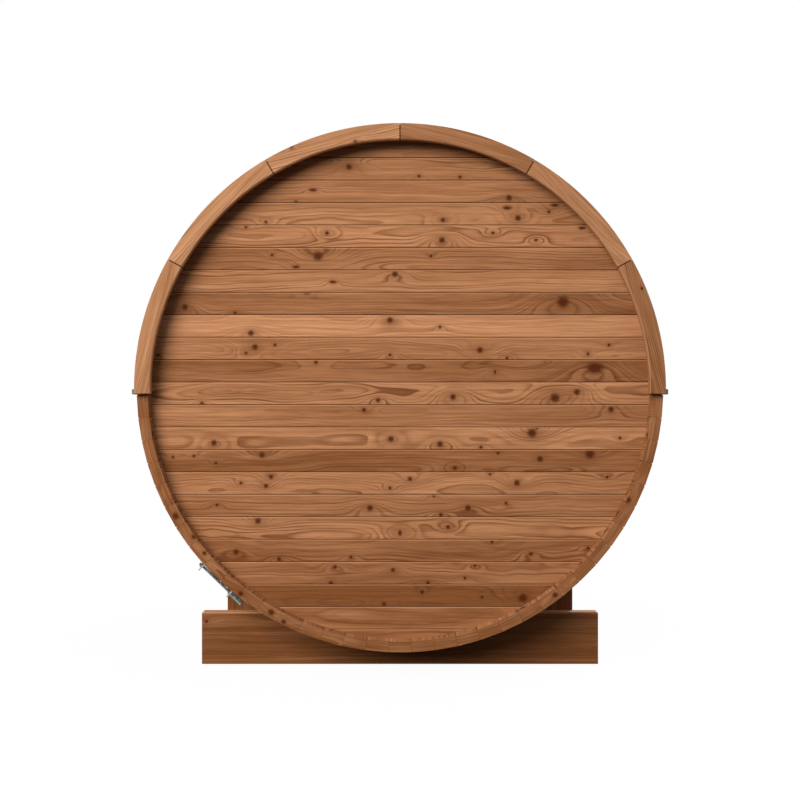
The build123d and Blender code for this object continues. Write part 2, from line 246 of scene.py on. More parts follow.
def grain_group():
    """Growth rings of a sawn board. Along, Across and Depth are metres in the board's own frame;
    the pith lies beside or behind the face and wanders, so the rings show as long arches."""
    tree, n, given, out = shader_group(
        "board grain",
        [("Along", FLOAT, 0.0), ("Across", FLOAT, 0.0), ("Depth", FLOAT, 0.0),
         ("Seed", FLOAT, 0.0), ("Pith Across", FLOAT, 0.05), ("Pith Depth", FLOAT, 0.03),
         ("Ring Width", FLOAT, 0.012), ("Wander", FLOAT, 0.04), ("Warp", FLOAT, 0.0)],
        [("Ring", FLOAT), ("Fibre", FLOAT), ("Shade", FLOAT)])
    along, across, depth = given["Along"], given["Across"], given["Depth"]
    seed = n.math("MULTIPLY", given["Seed"], SEED_STRIDE)

    def drift(frequency, shift):
        path = n.join(n.math("MULTIPLY", along, frequency), n.math("ADD", seed, shift), shift)
        noise = n.noise(path, 1.0, 3.0, 0.40)
        reach = n.math("MULTIPLY", given["Wander"], 2.0)
        return n.math("MULTIPLY", n.math("SUBTRACT", noise, 0.5), reach)

    def stretched(waves, third):
        waves_along, waves_across = waves
        return n.join(n.math("MULTIPLY", along, waves_along),
                      n.math("MULTIPLY", across, waves_across), third)

    side = n.math("ADD", n.math("SUBTRACT", across, given["Pith Across"]), drift(1.5, 3.7))
    behind = n.math("ADD", n.math("ADD", depth, given["Pith Depth"]), drift(1.9, 31.7))
    radius = n.length(side, behind)
    small = n.noise(stretched(WOBBLE_WAVES, n.math("ADD", seed, 11.0)), 1.0, 2.0)
    wobble = n.math("MULTIPLY", n.math("SUBTRACT", small, 0.5), RING_WOBBLE)
    radius = n.math("ADD", n.math("ADD", radius, wobble), given["Warp"])
    turn = n.math("DIVIDE", radius, given["Ring Width"])
    uneven = n.noise(n.join(turn, seed, 2.0), 0.45, 1.0)
    turn = n.math("ADD", turn, n.math("MULTIPLY", uneven, RING_UNEVENNESS))
    part = n.math("FRACT", turn)
    late = n.smooth(part, 0.42, 0.90)
    drop = n.smooth(part, 0.91, 1.0, 1.0, 0.0)
    row = n.join(n.math("FLOOR", turn), seed, 9.0)
    strength = n.smooth(n.noise(row, 1.7, 0.0), 0.25, 0.72, 0.25, 1.0)
    patch = n.noise(stretched(PATCH_WAVES, seed), 1.0, 2.0)
    strength = n.math("MULTIPLY", strength, n.smooth(patch, 0.30, 0.68, 0.45, 1.15))
    n.feed(out["Ring"], n.math("MULTIPLY", n.math("MULTIPLY", late, drop), strength, clamp=True))
    into_face = n.math("MULTIPLY", depth, FIBRE_WAVES[1])
    fine = n.noise(stretched(FIBRE_WAVES, into_face), 1.0, 4.0, 0.7)
    streaks = n.noise(stretched(STREAK_WAVES, seed), 1.0, 3.0, 0.65)
    n.feed(out["Fibre"], n.math("MULTIPLY", n.math("ADD", fine, streaks), 0.5))
    broad = n.noise(stretched(BROAD_WAVES, n.math("ADD", seed, 3.0)), 1.0, 3.0, 0.6)
    bands = n.noise(n.join(n.math("MULTIPLY", turn, 0.38), n.math("ADD", seed, 5.0),
                           n.math("MULTIPLY", along, 0.8)), 1.0, 2.0)
    n.feed(out["Shade"], n.math("SUBTRACT", n.math("ADD", broad, bands), 0.5))
    return tree


def knot_group():
    """One knot: pushes the rings aside around it and darkens its heart. Chained, Warp, Dark and
    Halo gather the knots of a board."""
    tree, n, given, out = shader_group(
        "knot",
        [("Along", FLOAT, 0.0), ("Across", FLOAT, 0.0), ("Knot Along", FLOAT, 0.0),
         ("Knot Across", FLOAT, 0.0), ("Radius", FLOAT, 0.01), ("Length", FLOAT, 1.0),
         ("Warp", FLOAT, 0.0), ("Dark", FLOAT, 0.0), ("Halo", FLOAT, 0.0)],
        [("Warp", FLOAT), ("Dark", FLOAT), ("Halo", FLOAT)])
    radius = given["Radius"]
    along = n.math("DIVIDE", n.math("SUBTRACT", given["Along"], given["Knot Along"]), radius)
    across = n.math("DIVIDE", n.math("SUBTRACT", given["Across"], given["Knot Across"]), radius)
    ragged = n.noise(n.join(n.math("MULTIPLY", given["Along"], KNOT_WAVES),
                            n.math("MULTIPLY", given["Across"], KNOT_WAVES), 0.0), 1.0, 2.0)
    ragged = n.math("SUBTRACT", ragged, 0.5)
    distance = n.length(n.math("DIVIDE", along, given["Length"]), across)
    distance = n.math("ADD", distance, n.math("MULTIPLY", ragged, 0.6))
    n.feed(out["Dark"], n.math("MAXIMUM", given["Dark"], n.smooth(distance, 0.35, 1.35, 1.0, 0.0)))

    def spread(reach_along, reach_across):
        far = n.length(n.math("DIVIDE", along, reach_along), n.math("DIVIDE", across, reach_across))
        return n.math("POWER", math.e, n.math("MULTIPLY", n.math("MULTIPLY", far, far), -1.0))

    n.feed(out["Halo"], n.math("MAXIMUM", given["Halo"], spread(2.6, 1.9)))
    lift = n.math("MULTIPLY", n.math("MULTIPLY", spread(6.0, 2.3), radius), 3.0)
    n.feed(out["Warp"], n.math("ADD", given["Warp"], lift))
    return tree


def scattered_knots_group():
    """Small knots at random places, one chance in each long cell of the board."""
    tree, n, given, out = shader_group(
        "scattered knots",
        [("Along", FLOAT, 0.0), ("Across", FLOAT, 0.0), ("Seed", FLOAT, 0.0),
         ("Spacing", FLOAT, 0.26), ("Width", FLOAT, 0.088), ("Share", FLOAT, 0.7),
         ("Size", FLOAT, 0.010)],
        [("Warp", FLOAT), ("Dark", FLOAT), ("Halo", FLOAT)])
    cell = n.math("FLOOR", n.math("DIVIDE", given["Along"], given["Spacing"]))
    key = n.math("ADD", n.math("MULTIPLY", cell, 13.7), n.math("MULTIPLY", given["Seed"], 3.17))
    dice = [n.chance(n.math("ADD", key, shift)) for shift in (0.0, 101.0, 202.0, 303.0)]
    within = n.math("ADD", cell, n.math("ADD", n.math("MULTIPLY", dice[0], 0.5), 0.25))
    centre_along = n.math("MULTIPLY", within, given["Spacing"])
    centre_across = n.math("MULTIPLY", n.math("SUBTRACT", dice[1], 0.5), given["Width"])
    present = n.math("LESS_THAN", dice[2], given["Share"])
    size = n.math("MULTIPLY", given["Size"], n.math("ADD", dice[3], 0.45))
    size = n.math("MAXIMUM", n.math("MULTIPLY", size, present), 0.0001)
    knot = n.group(KNOT, Along=given["Along"], Across=given["Across"],
                   Knot_Along=centre_along, Knot_Across=centre_across, Radius=size, Length=1.1)
    for name in ("Warp", "Dark", "Halo"):
        n.feed(out[name], n.math("MULTIPLY", knot[name], present))
    return tree


def timber_group():
    """Colours a board: tone, rings, fibres, broad shading and knots."""
    tree, n, given, out = shader_group(
        "timber finish",
        [("Ring", FLOAT, 0.0), ("Fibre", FLOAT, 0.5), ("Shade", FLOAT, 0.5),
         ("Dark", FLOAT, 0.0), ("Halo", FLOAT, 0.0), ("Tone", FLOAT, 0.5),
         ("Pale", COLOUR, OILED_PALE), ("Deep", COLOUR, OILED_DEEP),
         ("Latewood", COLOUR, LATEWOOD), ("Contrast", FLOAT, 0.8)],
        [("Color", COLOUR), ("Roughness", FLOAT), ("Height", FLOAT)])
    shade = n.math("MULTIPLY", n.math("SUBTRACT", given["Shade"], 0.5), 0.9)
    colour = n.mix(n.math("ADD", given["Tone"], shade, clamp=True), given["Deep"], given["Pale"])
    colour = n.mix(n.math("MULTIPLY", given["Ring"], given["Contrast"]), colour, given["Latewood"])
    tints = [n.smooth(given["Fibre"], 0.36, 0.64, low, 2.0 - low) for low in (0.84, 0.79, 0.74)]
    colour = n.mix(1.0, colour, n.join(*tints), "MULTIPLY")
    colour = n.mix(n.math("MULTIPLY", given["Halo"], 0.45), colour, KNOT_RIM)
    colour = n.mix(n.math("MULTIPLY", given["Dark"], 0.94), colour, KNOT_HEART)
    n.feed(out["Color"], colour)
    rough = n.smooth(given["Fibre"], 0.3, 0.7, 0.58, 0.72)
    rough = n.math("SUBTRACT", rough, n.math("MULTIPLY", given["Ring"], 0.08))
    n.feed(out["Roughness"], n.math("SUBTRACT", rough, n.math("MULTIPLY", given["Dark"], 0.12)))
    height = n.math("ADD", n.math("MULTIPLY", given["Ring"], 0.5),
                    n.math("MULTIPLY", given["Fibre"], 0.6))
    n.feed(out["Height"], n.math("SUBTRACT", height, n.math("MULTIPLY", given["Dark"], 0.5)))
    return tree


GRAIN = grain_group()
KNOT = knot_group()
SCATTER = scattered_knots_group()
TIMBER = timber_group()


def new_material(name):
    """Material with a Principled BSDF; returns the material, its Nodes and the shader."""
    material = bpy.data.materials.new(name)
    material.use_nodes = True
    nodes = Nodes(material.node_tree)
    return material, nodes, material.node_tree.nodes["Principled BSDF"]


def finish_timber(n, shader, coords, knots, tone, edges=None, contrast=0.8, pale=OILED_PALE, **grain):
    """Wires grain, knots and colour into the shader; coords are Along, Across and Depth, and
    edges are a mask for the dark joint and one for a painted highlight along the board's own edges."""
    along, across, depth = coords
    rings = n.group(GRAIN, Along=along, Across=across, Depth=depth, Warp=knots["Warp"], **grain)
    wood = n.group(TIMBER, Ring=rings["Ring"], Fibre=rings["Fibre"], Shade=rings["Shade"],
                   Dark=knots["Dark"], Halo=knots["Halo"], Tone=tone, Contrast=contrast, Pale=pale)
    colour = wood["Color"]
    if edges:
        dark, light = edges
        # Painted highlight: the light mask lifts the colour towards the pale edge colour
        colour = n.mix(light, colour, EDGE_HIGHLIGHT)
        colour = n.mix(dark, colour, OPEN_JOINT)
    n.feed(shader.inputs["Base Color"], colour)
    n.feed(shader.inputs["Roughness"], wood["Roughness"])
    n.relief(shader, wood["Height"], 0.35, 0.0006)
    shader.inputs["Specular IOR Level"].default_value = 0.05


def camera():
    data = bpy.data.cameras.new("camera")
    data.sensor_width = SENSOR
    data.lens = FOCAL_PIXELS / PHOTO_PIXELS * SENSOR
    data.clip_end = 60.0
    view = bpy.data.objects.new("camera", data)
    view.location = (0.0, BARREL_END - CAMERA_DISTANCE, AXIS_HEIGHT - CAMERA_DROP)
    view.rotation_euler = (math.pi / 2, 0.0, 0.0)
    bpy.context.scene.collection.objects.link(view)
    bpy.context.scene.camera = view


camera()


# Rear wall: each board is its own piece, with the knots that show in the photograph

def photo_point(x, y):
    """Place on the rear wall of a pixel of the photograph: metres along and above the centre."""
    scale = (CAMERA_DISTANCE + WALL_FACE - BARREL_END) / FOCAL_PIXELS
    return (x - PHOTO_PIXELS / 2) * scale, (PHOTO_PIXELS / 2 - y) * scale - CAMERA_DROP


# Tone of each board, from the top one down: 0 is the darkest and 1 the palest
BOARD_TONES = [0.63, 0.74, 0.55, 0.65, 0.77, 0.48, 0.65, 0.30, 1.00, 0.57, 0.28, 0.77, 0.53, 0.79,
               0.18, 0.65, 0.42, 0.58, 0.29, 0.41, 0.00, 0.27, 0.22]

# Boards with fainter growth rings than the rest
PLAIN_BOARDS = {0: 0.5, 2: 0.65, 8: 0.40, 9: 0.55, 21: 0.55}
CONTRAST = 0.9

# Knots that show on each board: pixel across and down, radius, and a length where it lies flat
SMALL, FAIR, MEDIUM, LARGE, HUGE = 0.0068, 0.0094, 0.0130, 0.0205, 0.0260
BOARD_KNOTS = {
    1: [(349, 167, MEDIUM), (419, 176, SMALL), (460, 177, SMALL)],
    2: [(313, 190, SMALL, 2.6), (509, 198, MEDIUM), (296, 202, SMALL)],
    3: [(507, 208, SMALL, 2.4), (555, 205, FAIR, 1.8), (549, 212, SMALL), (518, 218, MEDIUM),
        (443, 220, FAIR), (266, 222, SMALL)],
    4: [(246, 227, SMALL), (327, 233, FAIR), (493, 233, SMALL), (536, 240, SMALL),
        (442, 240, MEDIUM), (582, 228, SMALL, 2.2)],
    5: [(318, 256, LARGE), (296, 267, SMALL, 2.4), (272, 255, SMALL), (431, 256, SMALL)],
    6: [(395, 274, MEDIUM), (333, 282, SMALL, 2.4)],
    7: [(307, 293, SMALL, 2.2), (185, 307, MEDIUM), (235, 313, SMALL), (563, 302, HUGE)],
    8: [(390, 320, MEDIUM), (251, 333, MEDIUM), (440, 327, SMALL)],
    9: [(255, 347, MEDIUM), (246, 353, SMALL), (275, 345, SMALL), (158, 355, SMALL),
        (390, 355, SMALL), (480, 350, MEDIUM), (507, 358, SMALL), (609, 345, SMALL),
        (588, 354, SMALL)],
    10: [(316, 362, FAIR), (595, 368, HUGE, 1.5), (495, 372, FAIR, 0.6)],
    11: [(202, 403, SMALL), (378, 400, FAIR), (453, 397, MEDIUM), (555, 398, LARGE),
         (577, 392, MEDIUM)],
    12: [(364, 410, FAIR), (611, 409, MEDIUM)],
    13: [(214, 443, MEDIUM), (391, 439, MEDIUM), (532, 433, LARGE), (537, 428, SMALL),
         (620, 438, SMALL), (440, 444, MEDIUM), (481, 447, SMALL)],
    14: [(262, 455, MEDIUM), (194, 456, SMALL), (216, 463, SMALL), (173, 457, SMALL),
         (498, 453, SMALL), (590, 454, LARGE), (540, 459, MEDIUM), (455, 468, FAIR)],
    15: [(271, 477, FAIR), (241, 483, SMALL), (266, 486, FAIR), (390, 488, SMALL),
         (490, 474, SMALL), (410, 479, FAIR), (517, 483, MEDIUM), (607, 477, SMALL)],
    16: [(217, 505, SMALL), (370, 508, MEDIUM), (434, 496, SMALL), (506, 503, SMALL),
         (468, 508, MEDIUM), (441, 515, FAIR)],
    17: [(258, 521, MEDIUM), (400, 533, MEDIUM, 0.6), (448, 527, FAIR)],
    18: [(236, 552, MEDIUM), (279, 559, FAIR), (351, 557, SMALL), (492, 542, SMALL),
         (531, 554, FAIR), (588, 548, SMALL)],
    19: [(335, 567, FAIR), (331, 583, FAIR), (393, 570, FAIR), (475, 566, SMALL),
         (465, 578, SMALL), (428, 583, FAIR)],
    20: [(384, 604, FAIR), (523, 598, LARGE), (482, 597, SMALL), (422, 592, FAIR)],
}


def joined_knots(n, along, across, knots):
    """Knot nodes in a row, for knots given as (along, across, radius, length) in metres."""
    made = {"Warp": 0.0, "Dark": 0.0, "Halo": 0.0}
    for knot_along, knot_across, radius, length in knots:
        outputs = n.group(KNOT, Along=along, Across=across, Knot_Along=knot_along,
                          Knot_Across=knot_across, Radius=radius, Length=length, **made)
        made = {name: outputs[name] for name in made}
    return made


def board_edges(n, across):
    """Masks of the dark joint under a wall board and of a painted highlight along its top edge, where
    light catches the bevel.
    """
    dark = n.smooth(across, -0.0426, -0.0396, 0.96, 0.0)
    # Painted highlight along the top edge of the board
    light = n.smooth(across, 0.0385, 0.0415, 0.0, 0.40)
    return dark, light


def board_material(index, tone):
    draw = random.Random(700 + index)
    material, n, shader = new_material(f"wall_board_{index + 1:02d}")
    x, y, z = n.split(n.place())
    middle = BOARD_DATUM + (BOARDS_OVER_DATUM - 0.5 - index) * BOARD_COVER
    across = n.math("SUBTRACT", z, AXIS_HEIGHT + middle)
    places = []
    for pixel_x, pixel_y, radius, *length in BOARD_KNOTS.get(index, []):
        along, above = photo_point(pixel_x, pixel_y)
        places.append((along, above - middle, radius, *(length or [1.0])))
    knots = joined_knots(n, x, across, places)
    finish_timber(n, shader, (x, across, n.math("SUBTRACT", y, WALL_FACE)), knots, tone,
                  edges=board_edges(n, across), contrast=PLAIN_BOARDS.get(index, CONTRAST),
                  Seed=draw.uniform(0, 40),
                  Pith_Across=draw.uniform(-0.05, 0.09), Pith_Depth=draw.uniform(0.01, 0.045),
                  Ring_Width=draw.uniform(0.009, 0.014), Wander=draw.uniform(0.03, 0.06))
    return material


def loose_parts(node):
    """Copies of a CAD node's separate solids as plain meshes with merged corners."""
    whole = bmesh.new()
    whole.from_mesh(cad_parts[node].data)
    bmesh.ops.remove_doubles(whole, verts=whole.verts, dist=0.00001)
    parts = []
    left = set(whole.verts)
    while left:
        stack = [left.pop()]
        found = set(stack)
        while stack:
            vertex = stack.pop()
            for edge in vertex.link_edges:
                other = edge.other_vert(vertex)
                if other not in found:
                    found.add(other)
                    stack.append(other)
        left -= found
        corners = sorted(found, key=lambda v: v.index)
        order = {vertex: number for number, vertex in enumerate(corners)}
        faces = {face for vertex in found for face in vertex.link_faces}
        faces = sorted(faces, key=lambda f: f.index)
        mesh = bpy.data.meshes.new(f"{node}_part")
        mesh.from_pydata([vertex.co.copy() for vertex in order], [],
                         [[order[v] for v in face.verts] for face in faces])
        parts.append(mesh)
    whole.free()
    return parts


def flatten_faces(mesh):
    """Turns the triangles of a flat side back into one face."""
    shape = bmesh.new()
    shape.from_mesh(mesh)
    bmesh.ops.dissolve_limit(shape, angle_limit=math.radians(1.0), verts=shape.verts,
                             edges=shape.edges)
    bmesh.ops.recalc_face_normals(shape, faces=shape.faces)
    shape.to_mesh(mesh)
    shape.free()


def piece(name, mesh, material):
    """Links a finished mesh as a piece of the sauna."""
    mesh.materials.clear()
    mesh.materials.append(material)
    made = bpy.data.objects.new(name, mesh)
    bpy.context.scene.collection.objects.link(made)
    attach(made, "root")
    return made


def rear_wall():
    parts = loose_parts("rear_wall")
    parts.sort(key=lambda mesh: -sum(v.co.z for v in mesh.vertices) / len(mesh.vertices))
    for index, mesh in enumerate(parts):
        flatten_faces(mesh)
        board = piece(f"rear_wall_board_{index + 1:02d}", mesh,
                      board_material(index, BOARD_TONES[index]))
        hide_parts("rear_wall")


rear_wall()


# Other timber, on the CAD pieces themselves

def front_wall_material():
    material, n, shader = new_material("front_wall_boards")
    x, y, z = n.split(n.place())
    row = n.math("DIVIDE", n.math("SUBTRACT", z, AXIS_HEIGHT + BOARD_DATUM), BOARD_COVER)
    index = n.math("FLOOR", row)
    across = n.math("MULTIPLY", n.math("SUBTRACT", n.math("FRACT", row), 0.5), BOARD_COVER)
    from_door = n.math("ABSOLUTE", n.math("SUBTRACT", index, DOOR_MIDDLE_ROW))
    beside_door = n.math("LESS_THAN", from_door, ROWS_BESIDE_DOOR / 2)
    side = n.math("MULTIPLY", n.math("GREATER_THAN", x, 0.0), beside_door)
    key = n.math("ADD", n.math("MULTIPLY", index, 3.0), n.math("MULTIPLY", side, 1.3))
    dice = [n.chance(n.math("ADD", key, shift)) for shift in (0.5, 50.5, 90.5)]
    knots = n.group(SCATTER, Along=x, Across=across, Seed=key)
    finish_timber(n, shader, (x, across, n.math("SUBTRACT", y, WALL_FACE)), knots,
                  n.smooth(dice[0], 0.0, 1.0, 0.38, 0.72), edges=board_edges(n, across), Seed=key,
                  Pith_Across=n.smooth(dice[1], 0.0, 1.0, -0.05, 0.09), Pith_Depth=0.03,
                  Ring_Width=n.smooth(dice[2], 0.0, 1.0, 0.009, 0.014), Wander=0.045)
    return material


# Knots that show on the ends of the staves: degrees round from the right, distance outside the
# middle of the end, and radius
RING_KNOTS = [(209.5, 0.0, 0.0125), (215.6, -0.015, 0.0090), (220.0, -0.009, 0.0085),
              (232.1, 0.006, 0.0105), (240.0, 0.0, 0.0125), (307.0, 0.0, 0.0105)]


def stave_material():
    """Grain along each stave, and round the ring on the end faces, as the photograph shows it."""
    material, n, shader = new_material("staves")
    x, y, z = n.split(n.place())
    up = n.math("SUBTRACT", z, AXIS_HEIGHT)
    angle = n.math("ARCTAN2", x, n.math("MULTIPLY", up, -1.0))
    turn = n.math("ADD", n.math("DIVIDE", angle, STAVE_PITCH), 0.5)
    index = n.math("FLOOR", turn)
    radius = n.length(x, up)
    aside = n.math("MULTIPLY", n.math("SUBTRACT", n.math("FRACT", turn), 0.5), STAVE_WIDTH)
    end = n.math("GREATER_THAN", n.math("ABSOLUTE", y), -BARREL_END - END_TOLERANCE)
    round_ring = n.math("MULTIPLY", angle, BARREL_RADIUS)
    middle_radius = BARREL_RADIUS - STAVE_THICKNESS / 2
    along = n.choose(end, round_ring, y)
    across = n.choose(end, n.math("SUBTRACT", radius, middle_radius), aside)
    key = n.math("MULTIPLY", index, n.math("SUBTRACT", 1.0, end))
    dice = [n.chance(n.math("ADD", index, shift)) for shift in (0.5, 150.5)]
    knots = n.group(SCATTER, Along=along, Across=across, Seed=key, Spacing=0.31, Share=0.55,
                    Width=0.06)
    places = [(math.radians(turned - 270) * BARREL_RADIUS, outside, size, 1.2)
              for turned, outside, size in RING_KNOTS]
    shown = joined_knots(n, along, across, places)
    knots = {name: n.math("MAXIMUM", knots[name], n.math("MULTIPLY", shown[name], end))
             for name in ("Warp", "Dark", "Halo")}
    patches = n.smooth(n.noise(n.join(angle, 4.0, 8.0), 5.0, 2.0), 0.3, 0.7, -0.16, 0.16)
    side_tone = n.math("ADD", n.math("MULTIPLY", dice[0], 0.30), 0.36)
    end_tone = n.math("ADD", n.math("MULTIPLY", dice[0], 0.08), n.math("ADD", patches, 0.20))
    tone = n.choose(end, end_tone, side_tone)
    to_joint = n.math("SUBTRACT", STAVE_WIDTH / 2, n.math("ABSOLUTE", aside))
    dark = n.smooth(to_joint, 0.0008, 0.0024, 0.9, 0.0)
    dark = n.math("MULTIPLY", dark, n.math("SUBTRACT", 1.0, n.math("MULTIPLY", end, 0.8)))
    pith = n.math("SUBTRACT", n.math("MULTIPLY", dice[1], 0.10), 0.04)
    finish_timber(n, shader, (along, across, n.math("SUBTRACT", radius, BARREL_RADIUS)), knots, tone,
                  edges=(dark, 0.0), Seed=key, Pith_Across=pith, Pith_Depth=0.03,
                  Ring_Width=0.011, Wander=0.04)
    return material


def arch_material(name, angle, seed, tone, contrast=0.6):
    """Grain along the chord of one arch piece, whose middle is at the angle; its inner edge and
    feet get a painted highlight."""
    material, n, shader = new_material(name)
    place = n.place()
    radial, depth, along = n.turned(place, angle)
    x, _, z = n.split(place)
    up = n.math("SUBTRACT", z, AXIS_HEIGHT)
    radius = n.length(x, up)
    # Painted highlight: paler colour along the inner edge and the feet
    inner = n.smooth(radius, ARCH_INNER + 0.003, ARCH_INNER + 0.006, 1.0, 0.0)
    foot = n.smooth(up, ARCH_FOOT + 0.003, ARCH_FOOT + 0.006, 1.0, 0.0)
    light = n.math("MULTIPLY", n.math("MAXIMUM", inner, foot), 0.4)
    joint = n.math("ABSOLUTE", n.math("ARCTAN2", along, radial))
    dark = n.smooth(joint, ARCH_STEP / 2 - 0.0034, ARCH_STEP / 2 - 0.0018, 0.0, 0.85)
    across = n.math("SUBTRACT", radial, ARCH_MIDDLE)
    knots = n.group(SCATTER, Along=along, Across=across, Seed=seed, Share=0.4, Spacing=0.23,
                    Width=0.06, Size=0.008)
    draw = random.Random(seed)
    depth = n.math("SUBTRACT", n.math("ABSOLUTE", depth), -BARREL_END)
    finish_timber(n, shader, (along, across, depth), knots, tone, edges=(dark, light),
                  contrast=contrast, pale=ARCH_PALE, Seed=seed,
                  Pith_Across=draw.choice((-0.09, 0.10)), Pith_Depth=draw.uniform(0.01, 0.03),
                  Ring_Width=draw.uniform(0.007, 0.010), Wander=0.03)
    return material


def plank_material(name, run, across_axis, seed, tone, rings=0.009, pith=-0.16, wander=0.03,
                   contrast=0.8, edge=0.25):
    """Plain sawn timber with a painted highlight, as strong as edge, along its edge at the high end of
    the across axis; run is the axis that the grain follows.
    """
    material, n, shader = new_material(name)
    parts = n.split(n.place())
    low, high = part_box(name)
    middle = (low[across_axis] + high[across_axis]) / 2
    across = n.math("SUBTRACT", parts[across_axis], middle)
    through = X + Y + Z - run - across_axis
    depth = n.math("SUBTRACT", parts[through], low[through])
    knots = n.group(SCATTER, Along=parts[run], Across=across, Seed=seed, Share=0.5, Spacing=0.33,
                    Width=min(high[across_axis] - low[across_axis], 0.2))
    top = high[across_axis] - middle
    # Painted highlight along the high edge across the grain
    top_highlight = n.smooth(across, top - 0.009, top - 0.003, 0.0, edge)
    finish_timber(n, shader, (parts[run], across, depth), knots, tone, Seed=seed,
                  edges=(0.0, top_highlight), contrast=contrast, Pith_Across=pith, Pith_Depth=0.04,
                  Ring_Width=rings, Wander=wander)
    return material


def door_frame_material():
    """Upright grain in the jambs, level grain in the head and the threshold."""
    material, n, shader = new_material("door_frame")
    x, y, z = n.split(n.place())
    leaf_low, leaf_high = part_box("door_leaf")
    level = n.math("MAXIMUM", n.math("GREATER_THAN", z, leaf_high.z),
                   n.math("LESS_THAN", z, leaf_low.z))
    from_centre = n.math("ABSOLUTE", n.math("SUBTRACT", z, (leaf_low.z + leaf_high.z) / 2))
    head_middle = (leaf_high.z - leaf_low.z) / 2 + JAMB_HALF_WIDTH
    jamb_middle = (leaf_high.x - leaf_low.x) / 2 + JAMB_HALF_WIDTH
    along = n.choose(level, x, z)
    across = n.choose(level, n.math("SUBTRACT", from_centre, head_middle),
                      n.math("SUBTRACT", n.math("ABSOLUTE", x), jamb_middle))
    seed = n.math("ADD", n.math("GREATER_THAN", x, 0.0), n.math("MULTIPLY", level, 3.0))
    knots = n.group(SCATTER, Along=along, Across=across, Seed=seed, Share=0.3, Spacing=0.4, Width=0.03,
                    Size=0.006)
    finish_timber(n, shader, (along, across, n.math("SUBTRACT", y, leaf_high.y)), knots, 0.52, Seed=seed,
                  Pith_Across=0.07, Pith_Depth=0.03, Ring_Width=0.008, Wander=0.02)
    return material


def strip_material(name, run, across_axis, cover, seed, low_tone, high_tone):
    """Boards side by side in one piece; each has its own tone and grain."""
    material, n, shader = new_material(name)
    parts = n.split(n.place())
    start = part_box(name)[0]
    through = X + Y + Z - run - across_axis
    depth = n.math("SUBTRACT", parts[through], start[through])
    row = n.math("DIVIDE", n.math("SUBTRACT", parts[across_axis], start[across_axis]), cover)
    across = n.math("MULTIPLY", n.math("SUBTRACT", n.math("FRACT", row), 0.5), cover)
    key = n.math("ADD", n.math("FLOOR", row), seed)
    dice = n.chance(key)
    tone = n.math("ADD", n.math("MULTIPLY", dice, high_tone - low_tone), low_tone)
    knots = n.group(SCATTER, Along=parts[run], Across=across, Seed=key)
    pith = n.math("SUBTRACT", n.math("MULTIPLY", dice, 0.12), 0.05)
    finish_timber(n, shader, (parts[run], across, depth), knots, tone, Seed=key,
                  Pith_Across=pith, Pith_Depth=0.03, Ring_Width=0.011, Wander=0.045)
    return material


def dress(node, material):
    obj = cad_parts[node]
    obj.data.materials.clear()
    obj.data.materials.append(material)


STAVES = stave_material()
FRONT_WALL = front_wall_material()
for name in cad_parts:
    if name.startswith("staves_"):
        dress(name, STAVES)
    if name.startswith("front_wall_"):
        dress(name, FRONT_WALL)

# Tones of the rear arch pieces, from the right foot round to the left one, and those with strong rings
ARCH_TONES = [0.30, 0.68, 0.34, 0.92, 0.86, 0.70]
STRONG_ARCHES = (1, 4)
for number, tone in enumerate(ARCH_TONES, start=1):
    from_right = math.pi / 2 - ARCH_SPAN / 2 + (number - 0.5) * ARCH_STEP
    contrast = 1.0 if number in STRONG_ARCHES else 0.6
    rear_piece = f"rear_arch_{number}"
    front_piece = f"front_arch_{number}"
    dress(rear_piece, arch_material(rear_piece, from_right, number * 3.0, tone, contrast))
    dress(front_piece, arch_material(front_piece, math.pi - from_right, number * 5.0, 0.6))

for number, node in enumerate(sorted(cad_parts)):
    if node.endswith("_beam"):
        # The beams get a strong painted highlight along their lit top edge
        dress(node, plank_material(node, X, Z, number * 1.7, 0.10, rings=0.0075, pith=-0.30,
                                   wander=0.012, contrast=1.0, edge=0.9))
    if node.endswith("_chock"):
        dress(node, plank_material(node, Z, X, number * 1.9, 0.06))
dress("door_frame", door_frame_material())
dress("door_handle", plank_material("door_handle", Z, X, 7.7, 0.70, pith=0.05))
dress("door_ledges", plank_material("door_ledges", X, Z, 6.1, 0.45, pith=0.04))
leaf_low, leaf_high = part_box("door_leaf")
leaf_board_cover = (leaf_high.x - leaf_low.x) / LEAF_BOARDS
dress("door_leaf", strip_material("door_leaf", Z, X, leaf_board_cover, 21.0, 0.40, 0.80))
dress("floor_deck", strip_material("floor_deck", Y, X, DECK_BOARD_COVER, 41.0, 0.55, 0.90))
dress("floor_bearers", plank_material("floor_bearers", X, Z, 8.8, 0.5))


# Felt and metal

FELT_LAP_ANGLE = 0.52


